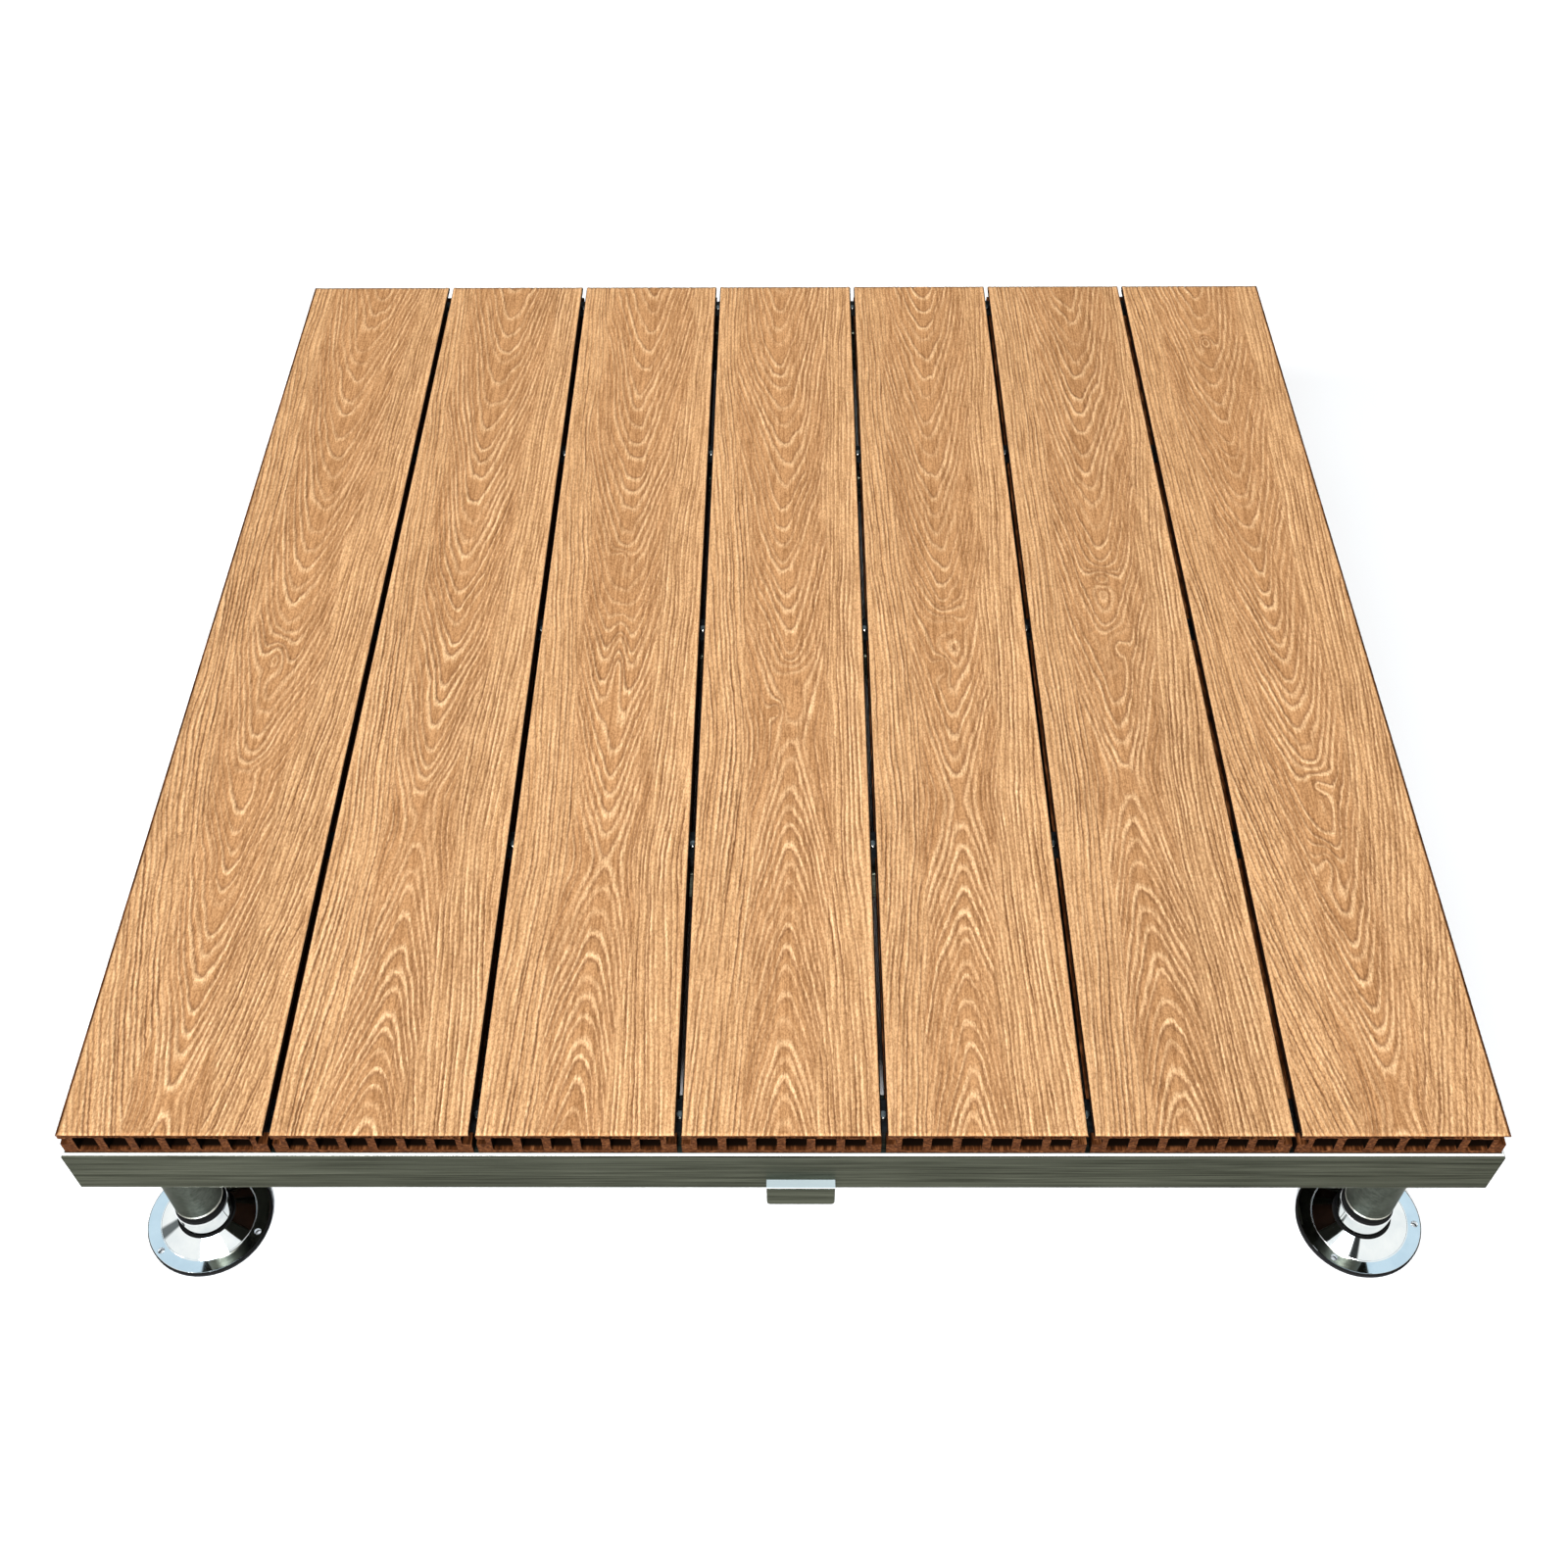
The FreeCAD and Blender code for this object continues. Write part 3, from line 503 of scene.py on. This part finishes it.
def composite_material():
    tree = Tree("composite_board")
    fade = tree.attribute("fade")
    share = tree.attribute("flank_share")
    cut_and_painted_edge_shade = tree.attribute("cut_and_painted_edge_shade")
    tone = tree.attribute("tone", "OBJECT")
    ragged = tree.stretched_noise((700.0, 220.0, 700.0), 3.0)
    uneven = tree.math("MULTIPLY_ADD", ragged, 2.0, -1.0)
    arch_groove, arch_ridge = line_shade(tree, "arch", uneven)
    flank_groove, flank_ridge = line_shade(tree, "flank", uneven)
    inside = tree.math("SUBTRACT", 1.0, share)
    shallow = tree.math("MULTIPLY", inside, ARCH_GROOVE_SHARE)
    groove = tree.math("MAXIMUM", tree.math("MULTIPLY", arch_groove, shallow),
                       tree.math("MULTIPLY", flank_groove, share))
    ridge = tree.math("MAXIMUM", tree.math("MULTIPLY", arch_ridge, inside),
                      tree.math("MULTIPLY", flank_ridge, share))
    groove = tree.math("MULTIPLY", groove, fade)
    ridge = tree.math("MULTIPLY", ridge, fade)
    highlight_strip = tree.attribute("highlight_strip")
    plain = tree.mix(share, (*from_screen(*BOARD_FILL), 1.0), (*from_screen(*BOARD_PLAIN), 1.0))
    # Painted highlight: the strips along the gap edges are lighter.
    plain = tree.mix(highlight_strip, plain, (*from_screen(*BOARD_PAINTED_HIGHLIGHT), 1.0))
    top = tree.mix(ridge, plain, (*from_screen(*BOARD_RIDGE), 1.0))
    top = tree.mix(tree.math("MULTIPLY", groove, 0.85), top, (*from_screen(*BOARD_GROOVE), 1.0))
    hair = tree.stretched_noise((520.0, 26.0, 520.0), 2.0, 0.6)
    strokes = tree.ramp(hair, [(0.36, (0.76, 0.71, 0.66)), (0.50, (1.0, 1.0, 1.0)), (0.64, (1.14, 1.16, 1.18))])
    top = tree.mix(1.0, top, strokes.outputs[0], "MULTIPLY")
    stipple = tree.stretched_noise((760.0, 430.0, 760.0), 3.0, 0.75)
    speckle = tree.ramp(stipple, [(0.36, (0.70, 0.65, 0.60)), (0.50, (1.0, 1.0, 1.0)), (0.64, (1.22, 1.25, 1.28))])
    top = tree.mix(1.0, top, speckle.outputs[0], "MULTIPLY")
    patches = tree.stretched_noise((14.0, 4.0, 14.0), 2.0)
    cloud = tree.ramp(patches, [(0.3, (0.95, 0.94, 0.93)), (0.7, (1.04, 1.04, 1.04))])
    top = tree.mix(1.0, top, cloud.outputs[0], "MULTIPLY")
    shade = tree.add("CombineColor", {0: tone, 1: tone, 2: tone})
    top = tree.mix(1.0, top, shade, "MULTIPLY")
    saw = tree.stretched_noise((420.0, 60.0, 1400.0), 4.0, 0.6)
    end = tree.ramp(saw, [(0.30, from_screen(26, 11, 3)), (0.52, from_screen(70, 37, 16)),
                          (0.75, from_screen(132, 84, 50))])
    hollow = tree.attribute("hollow")
    # End colour on the cut faces, and painted shade on the rounded top edges.
    colour = tree.mix(cut_and_painted_edge_shade, top, end)
    # Painted shade in the hollow chambers: nearly black inside, except the upward faces near the open ends, which
    # keep the end colour as if lit.
    parts = tree.add("SeparateXYZ", {0: tree.add("TexCoord").outputs["Object"]})
    depth = tree.math("ABSOLUTE", parts.outputs[1])
    near = tree.add("MapRange", {0: depth, 1: DECK_END - 4.0 * MM, 2: DECK_END - 1.8 * MM})
    lit = tree.math("MULTIPLY", tree.upward(0.5, 0.8), near)
    painted_chamber_shade = tree.mix(lit, (*from_screen(12, 5, 2), 1.0), end)
    # Painted shade: board sides that face a gap, but not the deck's outer sides, are nearly black.
    facing = tree.add("SeparateXYZ", {0: tree.add("NewGeometry").outputs["Normal"]}).outputs[0]
    facing = tree.math("GREATER_THAN", tree.math("ABSOLUTE", facing), 0.55)
    inner = tree.math("LESS_THAN", tree.math("ABSOLUTE", parts.outputs[0]), OUTER_BOARD_SIDE)
    colour = tree.mix(tree.math("MULTIPLY", facing, inner), colour, (*from_screen(22, 10, 5), 1.0))
    # The hollow's faces take the painted chamber shade.
    colour = tree.mix(hollow, colour, painted_chamber_shade)
    # Painted shade: board faces that look down are dark brown.
    colour = tree.mix(tree.downward(), colour, (*from_screen(30, 17, 10), 1.0))
    height = tree.math("SUBTRACT", tree.math("MULTIPLY", ridge, 0.5), groove)
    height = tree.math("MULTIPLY_ADD", stipple, 0.8, height)
    bump = tree.add("Bump", {"Strength": 0.5, "Distance": 0.00035, "Height": height})
    return tree.finish(Base_Color=colour, Roughness=0.7, Specular_IOR_Level=0.03, Normal=bump)


def steel_material(name, colour, brush, roughness=0.36, contrast=0.60, painted_reflection=None):
    """Brushed steel; brush gives the noise scale on each axis, small along the brushing.
    A painted reflection colour, when given, is what faces that look up have in place of the side colour, on less
    metallic steel: a painted reflection of the bright studio above. Faces that look down are darkened as painted
    shade."""
    tree = Tree(name)
    fine = tree.stretched_noise(brush, 4.0, 0.6)
    broad = tree.stretched_noise(tuple(part * 0.28 for part in brush), 3.0, 0.6)
    streaks = tree.math("MULTIPLY_ADD", fine, 0.62, tree.math("MULTIPLY", broad, 0.38))
    patches = tree.stretched_noise((7.0, 7.0, 7.0), 2.0)
    dark = tuple(part * (1.0 - contrast) for part in colour)
    light = tuple(part * (1.0 + contrast) for part in colour)
    grain = tree.ramp(streaks, [(0.38, dark), (0.62, light)]).outputs[0]
    metallic = 1.0
    if painted_reflection:
        parts = tree.add("SeparateXYZ", {0: tree.add("TexCoord").outputs["Object"]})
        sideways = tree.math("ABSOLUTE", parts.outputs[0])
        lengthways = tree.math("ABSOLUTE", parts.outputs[1])
        outer = tree.math("MAXIMUM", sideways, lengthways)
        # Painted shadow: rail tops under the boards' edges, inside this line, keep the dark steel.
        clear = tree.add("MapRange", {0: outer, 1: PAINTED_SHADOW_LINE, 2: PAINTED_SHADOW_LINE + 0.6 * MM})
        # Painted reflection: faces that look up take a pale colour and are less metallic.
        share = tree.math("MULTIPLY", tree.upward(0.6, 0.85), clear)
        grain = tree.mix(share, grain, (*painted_reflection, 1.0))
        metallic = tree.math("MULTIPLY_ADD", share, -0.85, 1.0)
    cloud = tree.ramp(patches, [(0.3, (0.93, 0.93, 0.93)), (0.7, (1.07, 1.07, 1.07))])
    surface = tree.mix(1.0, grain, cloud.outputs[0], "MULTIPLY")
    # Painted shade: faces that look down are darkened to a tenth of the colour.
    surface = tree.mix(tree.downward(), surface, (*[part * 0.1 for part in colour], 1.0))
    rough = tree.math("MULTIPLY_ADD", streaks, 0.22, roughness - 0.11)
    bump = tree.add("Bump", {"Strength": 0.12, "Distance": 0.0002, "Height": streaks})
    return tree.finish(
        Base_Color=surface, Metallic=metallic, Roughness=rough, Specular_Tint=EDGE_TINT, Normal=bump)


def chrome_material():
    """Chrome with a rubber lip round the rim, and painted shade, nearly black, in the groove round the neck and on
    the neck's top.
    """
    tree = Tree("foot_chrome")
    haze = tree.stretched_noise((60.0, 60.0, 60.0), 3.0)
    colour = tree.ramp(haze, [(0.3, (0.82, 0.86, 0.88)), (0.7, (0.94, 0.96, 0.96))]).outputs[0]
    rough = tree.math("MULTIPLY_ADD", haze, 0.05, 0.02)
    parts = tree.add("SeparateXYZ", {0: tree.add("TexCoord").outputs["Object"]})
    sideways = tree.math("SUBTRACT", tree.math("ABSOLUTE", parts.outputs[0]), FOOT_SIDEWAYS)
    lengthways = tree.math("SUBTRACT", tree.math("ABSOLUTE", parts.outputs[1]), FOOT_LENGTHWAYS)
    flat = tree.add("CombineXYZ", {0: sideways, 1: lengthways})
    radius = tree.add("VectorMath", {0: flat}, operation="LENGTH").outputs["Value"]
    height = parts.outputs[2]
    lip = tree.math("GREATER_THAN", radius, RIM_START)
    below = tree.math("LESS_THAN", height, GROOVE_TOP)
    # Painted shade: the groove round the foot of the neck and the neck's top are nearly black.
    groove = tree.math("MULTIPLY", tree.math("LESS_THAN", radius, GROOVE_RADIUS), below)
    shoulder = tree.add("MapRange", {0: height, 1: NECK_PAINTED_SHADE, 2: NECK_PAINTED_SHADE + 0.5 * MM})
    rubber_and_painted_shade = tree.math("MAXIMUM", lip, tree.math("MAXIMUM", groove, shoulder))
    colour = tree.mix(rubber_and_painted_shade, colour, (0.010, 0.010, 0.010, 1.0))
    metallic = tree.math("SUBTRACT", 1.0, rubber_and_painted_shade)
    rough = tree.math("MULTIPLY_ADD", rubber_and_painted_shade, 0.5, rough)
    return tree.finish(Base_Color=colour, Metallic=metallic, Roughness=rough, Specular_IOR_Level=0.0)


def foot_bead(corner, material):
    """Narrow raised bead where the flat ring of a foot meets its cone."""
    low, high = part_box("foot_flange_" + corner)
    middle_x = (low.x + high.x) / 2
    middle_y = (low.y + high.y) / 2
    around, section = np.meshgrid(
        np.linspace(0.0, 2 * math.pi, BEAD_STEPS, endpoint=False),
        np.linspace(0.0, 2 * math.pi, 8, endpoint=False), indexing="ij")
    radius = BEAD_RADIUS + BEAD_SIZE * np.cos(section)
    place = np.stack([
        middle_x + radius * np.cos(around), middle_y + radius * np.sin(around),
        BEAD_HEIGHT + BEAD_SIZE * np.sin(section)], axis=-1)
    corner_index = np.arange(around.size).reshape(around.shape)
    following = np.roll(corner_index, -1, axis=0)
    quads = np.stack([
        corner_index, following, np.roll(following, -1, axis=1), np.roll(corner_index, -1, axis=1)], axis=-1)
    mesh = bpy.data.meshes.new("foot_bead_" + corner)
    mesh.from_pydata(place.reshape(-1, 3).tolist(), [], quads.reshape(-1, 4).tolist())
    mesh.polygons.foreach_set("use_smooth", np.ones(len(mesh.polygons), bool))
    mesh.materials.append(material)
    bead = bpy.data.objects.new("foot_bead_" + corner, mesh)
    bpy.context.scene.collection.objects.link(bead)
    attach(bead, "foot_" + corner)


def rubber_material():
    tree = Tree("foot_rubber")
    grit = tree.stretched_noise((900.0, 900.0, 900.0), 2.0)
    colour = tree.ramp(grit, [(0.3, (0.010, 0.010, 0.011)), (0.7, (0.030, 0.030, 0.031))])
    bump = tree.add("Bump", {"Strength": 0.3, "Distance": 0.0002, "Height": grit})
    return tree.finish(Base_Color=colour, Roughness=0.75, Specular_IOR_Level=0.05, Normal=bump)


FINE = 880.0
ALONG = 11.0
FRAME_COLOUR = (0.068, 0.071, 0.053)
LEG_COLOUR = (0.060, 0.066, 0.055)
EDGE_TINT = (0.55, 0.55, 0.52, 1.0)
# Where the boards' edges shade the rail tops: a painted shadow line.
PAINTED_SHADOW_LINE = 506.4 * MM

composite = composite_material()
# Pale colour of the rail tops where they look up: a painted reflection.
PAINTED_REFLECTION_COLOUR = (0.86, 0.86, 0.84)
steel_x = steel_material("frame_steel_across", FRAME_COLOUR, (ALONG, FINE, FINE), painted_reflection=PAINTED_REFLECTION_COLOUR)
steel_y = steel_material("frame_steel_along", FRAME_COLOUR, (FINE, ALONG, FINE), painted_reflection=PAINTED_REFLECTION_COLOUR)
joist_steel = steel_material("joist_steel", FRAME_COLOUR, (ALONG, FINE, FINE))
leg_steel = steel_material("leg_steel", LEG_COLOUR, (300.0, 300.0, 500.0), 0.42, contrast=0.35)
# The key's top gets a darker, bluish painted reflection.
key_steel = steel_material("key_steel", FRAME_COLOUR, (ALONG, FINE, FINE), 0.30, painted_reflection=(0.36, 0.42, 0.44))
insert_steel = steel_material("insert_steel", (0.62, 0.60, 0.53), (300.0, 300.0, 300.0), 0.35, contrast=0.12)
# The clips' steel is nearly black: painted shade of the gaps they sit in.
clip_steel = steel_material("clip_steel", (0.030, 0.030, 0.030), (200.0, 200.0, 200.0), 0.45)
screw_steel = steel_material("screw_steel", (0.16, 0.16, 0.15), (200.0, 200.0, 200.0), 0.25)
chrome = chrome_material()
rubber = rubber_material()


def give(node, material):
    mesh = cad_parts[node].data
    mesh.materials.clear()
    mesh.materials.append(material)


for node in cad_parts:
    if node.startswith("foot_flange"):
        give(node, chrome)
    elif node.startswith("leg_insert"):
        give(node, insert_steel)
    elif node.startswith("foot_pad"):
        give(node, rubber)
    elif node.startswith("leg_tube"):
        give(node, leg_steel)
    elif node in ("left_rail", "right_rail"):
        give(node, steel_y)
    elif node in ("front_rail", "rear_rail"):
        give(node, steel_x)
    elif node.startswith(("joist", "leg_plate")):
        give(node, joist_steel)
    elif node == "interlock_key":
        give(node, key_steel)
    elif node == "board_clips":
        give(node, clip_steel)
    else:
        give(node, screw_steel)

for number in range(1, BOARD_COUNT + 1):
    embossed_board(number, composite)

for corner in CORNERS:
    foot_bead(corner, chrome)


# Studio

def floor_material():
    tree = Tree("floor")
    mottle = tree.stretched_noise((3.0, 3.0, 3.0), 2.0)
    colour = tree.ramp(mottle, [(0.3, (0.93, 0.93, 0.93)), (0.7, (0.95, 0.95, 0.95))])
    return tree.finish(Base_Color=colour, Roughness=0.9, Specular_IOR_Level=0.0)


def floor(half):
    """Pale floor under the feet, which goes down with the lowest of them."""
    mesh = bpy.data.meshes.new("floor")
    mesh.from_pydata(
        [(-half, -half, 0.0), (half, -half, 0.0), (half, half, 0.0), (-half, half, 0.0)],
        [], [(0, 1, 2, 3)])
    mesh.materials.append(floor_material())
    plane = bpy.data.objects.new("floor", mesh)
    bpy.context.scene.collection.objects.link(plane)
    for corner in CORNERS:
        below = plane.constraints.new("FLOOR")
        below.target = bpy.data.objects["foot_flange_" + corner]
        below.floor_location = "FLOOR_NEGATIVE_Z"


def area_light(name, place, target, width, height, power, colour=(1.0, 1.0, 1.0)):
    data = bpy.data.lights.new(name, "AREA")
    data.shape = "RECTANGLE"
    data.size = width
    data.size_y = height
    data.energy = power
    data.color = colour
    light = bpy.data.objects.new(name, data)
    light.location = place
    light.rotation_euler = (Vector(target) - Vector(place)).to_track_quat("-Z", "Y").to_euler()
    bpy.context.scene.collection.objects.link(light)


def sun_light(name, direction, strength, spread):
    data = bpy.data.lights.new(name, "SUN")
    data.energy = strength
    data.angle = math.radians(spread)
    light = bpy.data.objects.new(name, data)
    light.rotation_euler = Vector(direction).to_track_quat("-Z", "Y").to_euler()
    bpy.context.scene.collection.objects.link(light)


# Colours of the studio's surroundings, from level up to a point high at the rear
SKY_AXIS = (0.0, 0.574, 0.819)
SKY_BANDS = ((1.0, 1.0, 0.98), (0.97, 1.0, 0.99), (0.60, 0.76, 0.86), (0.62, 0.80, 0.92))

# Dark flags round the object, seen only in mirrors: bearing, height and half width in degrees, and tone
FLAGS = ((-90, 62, 6, 0.03), (170, 24, 9, 0.16), (-168, 10, 8, 0.08))
FLAG_CORE = 0.65


def world_light(ambient, mirrored):
    """Soft light from all round, brighter where it is seen or mirrored."""
    world = bpy.data.worlds.new("studio")
    bpy.context.scene.world = world
    world.use_nodes = True
    tree = world.node_tree
    background = tree.nodes["Background"]
    path = tree.nodes.new("ShaderNodeLightPath")
    strength = tree.nodes.new("ShaderNodeMapRange")
    strength.inputs["To Min"].default_value = ambient
    strength.inputs["To Max"].default_value = mirrored
    seen = tree.nodes.new("ShaderNodeMath")
    seen.operation = "MAXIMUM"
    tree.links.new(path.outputs["Is Camera Ray"], seen.inputs[0])
    tree.links.new(path.outputs["Is Glossy Ray"], seen.inputs[1])
    tree.links.new(seen.outputs["Value"], strength.inputs["Value"])
    tree.links.new(strength.outputs["Result"], background.inputs["Strength"])
    place = tree.nodes.new("ShaderNodeTexCoord")
    height = tree.nodes.new("ShaderNodeVectorMath")
    height.operation = "DOT_PRODUCT"
    height.inputs[1].default_value = SKY_AXIS
    tree.links.new(place.outputs["Generated"], height.inputs[0])
    ramp = tree.nodes.new("ShaderNodeValToRGB")
    tree.links.new(height.outputs["Value"], ramp.inputs[0])
    points = ramp.color_ramp.elements
    for position in (0.62, 0.74):
        points.new(position)
    for point, colour in zip(points, SKY_BANDS):
        point.color = (*colour, 1.0)
    colour = ramp.outputs["Color"]
    for bearing, height, half_width, tone in FLAGS:
        turn = math.radians(bearing)
        rise = math.radians(height)
        near = tree.nodes.new("ShaderNodeVectorMath")
        near.operation = "DOT_PRODUCT"
        near.inputs[1].default_value = (
            math.cos(turn) * math.cos(rise), math.sin(turn) * math.cos(rise), math.sin(rise))
        tree.links.new(place.outputs["Generated"], near.inputs[0])
        edge = tree.nodes.new("ShaderNodeMapRange")
        edge.inputs["From Min"].default_value = math.cos(math.radians(half_width))
        edge.inputs["From Max"].default_value = math.cos(math.radians(half_width * FLAG_CORE))
        tree.links.new(near.outputs["Value"], edge.inputs["Value"])
        flag = tree.nodes.new("ShaderNodeMix")
        flag.data_type = "RGBA"
        tree.links.new(edge.outputs["Result"], flag.inputs[0])
        tree.links.new(colour, flag.inputs[6])
        flag.inputs[7].default_value = (tone, tone * 1.1, tone * 1.1, 1.0)
        colour = flag.outputs[2]
    backdrop = tree.nodes.new("ShaderNodeMix")
    backdrop.data_type = "RGBA"
    tree.links.new(path.outputs["Is Camera Ray"], backdrop.inputs[0])
    tree.links.new(colour, backdrop.inputs[6])
    backdrop.inputs[7].default_value = (1.0, 1.0, 1.0, 1.0)
    tree.links.new(backdrop.outputs[2], background.inputs["Color"])


def photo_camera():
    """Camera at the photo's place, from the tile's corners in the photo."""
    focal_pixels = 1741.456
    image_pixels = 1600.0
    pitch = math.radians(50.1605)
    yaw = math.radians(-0.5021)
    roll = math.radians(-0.4265)
    forward = Vector((math.sin(yaw) * math.cos(pitch), math.cos(yaw) * math.cos(pitch), -math.sin(pitch)))
    level = Vector((math.cos(yaw), -math.sin(yaw), 0.0))
    upright = level.cross(forward)
    right = math.cos(roll) * level + math.sin(roll) * upright
    up = -math.sin(roll) * level + math.cos(roll) * upright
    data = bpy.data.cameras.new("camera")
    data.sensor_width = 36.0
    data.lens = focal_pixels / image_pixels * data.sensor_width
    camera = bpy.data.objects.new("camera", data)
    turn = Matrix((right, up, -forward)).transposed().to_4x4()
    camera.matrix_world = Matrix.Translation((0.008683, -1.076963, 1.281586)) @ turn
    bpy.context.scene.collection.objects.link(camera)
    bpy.context.scene.camera = camera


floor(6.0)
sun_light("key_sun", (0.10, 0.72, -0.68), 4.2, 14.0)
sun_light("side_sun", (0.74, 0.45, -0.50), 1.9, 16.0)
area_light("front_softbox", (-0.5, -1.7, 2.0), (0.0, -0.5, 0.1), 1.2, 1.2, 29.0, (0.90, 1.0, 1.10))
world_light(0.02, 1.0)
photo_camera()
bpy.context.scene.view_settings.view_transform = "Standard"
